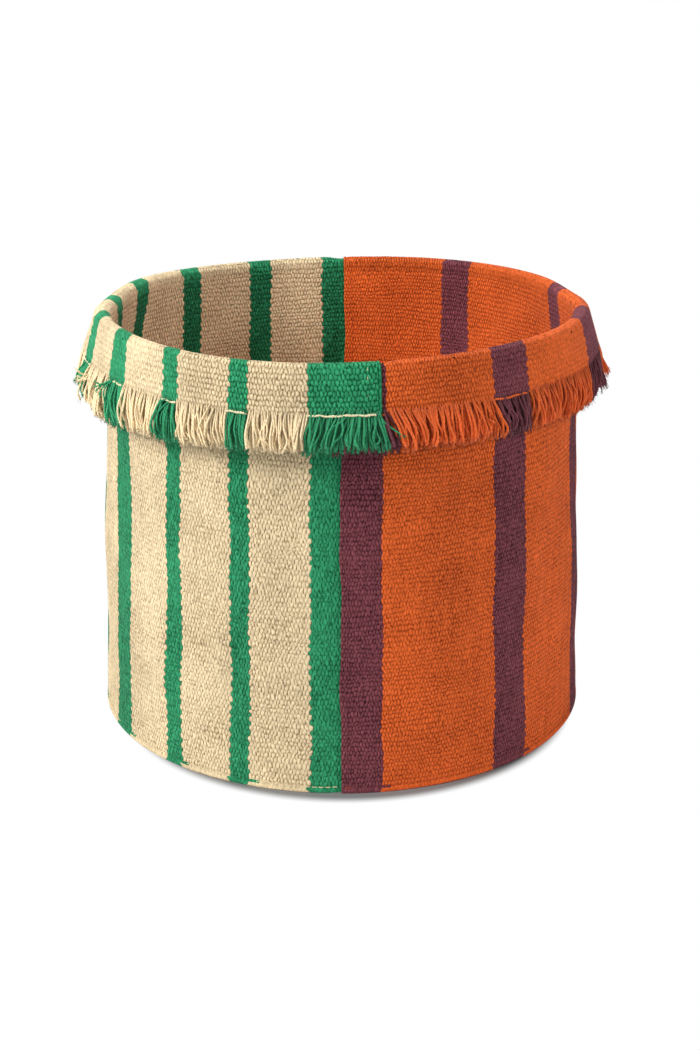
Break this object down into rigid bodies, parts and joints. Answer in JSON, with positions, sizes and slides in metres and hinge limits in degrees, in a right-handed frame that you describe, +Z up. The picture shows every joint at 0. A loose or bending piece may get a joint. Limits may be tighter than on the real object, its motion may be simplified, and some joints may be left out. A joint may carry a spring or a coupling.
{
  "type": "round fringed floor basket",
  "caption": "Round floor basket of thick striped woven cloth with an outward folded cuff and a yarn fringe round the rim.",
  "frame": {"origin": "centre of the base's underside, on the floor", "axes": "+Z up out of the open top, -Y towards the front lap, +X towards the orange and purple half"},
  "size_m": [0.4421, 0.4458, 0.3542],
  "materials": {
    "cream_green_cloth": "warp-faced plain weave, cream with green stripes",
    "orange_purple_cloth": "warp-faced plain weave, orange with purple stripes",
    "base_cloth": "plain weave, cream",
    "cream_green_yarn": "twisted matt yarn, cream with green bunches",
    "orange_purple_yarn": "twisted matt yarn, orange with purple bunches",
    "cream_yarn": "twisted matt yarn, cream",
    "orange_yarn": "twisted matt yarn, orange",
    "purple_thread": "sewing thread, purple",
    "cream_thread": "sewing thread, cream",
    "green_thread": "sewing thread, green",
    "orange_thread": "sewing thread, rust orange"
  },
  "bodies": {
    "root": {"cream_green_panel": "cream_green_cloth", "orange_purple_panel": "orange_purple_cloth", "base_panel": "base_cloth", "cream_green_fringe": "cream_green_yarn", "orange_purple_fringe": "orange_purple_yarn", "cream_header_weft": "cream_yarn", "orange_header_weft": "orange_yarn", "front_lap_outer_seam": "purple_thread", "front_lap_inner_seam": "cream_thread", "back_lap_outer_seam": "green_thread", "back_lap_inner_seam": "orange_thread", "cream_foot_seam": "cream_thread", "orange_foot_seam": "orange_thread"}
  },
  "joints": []
}
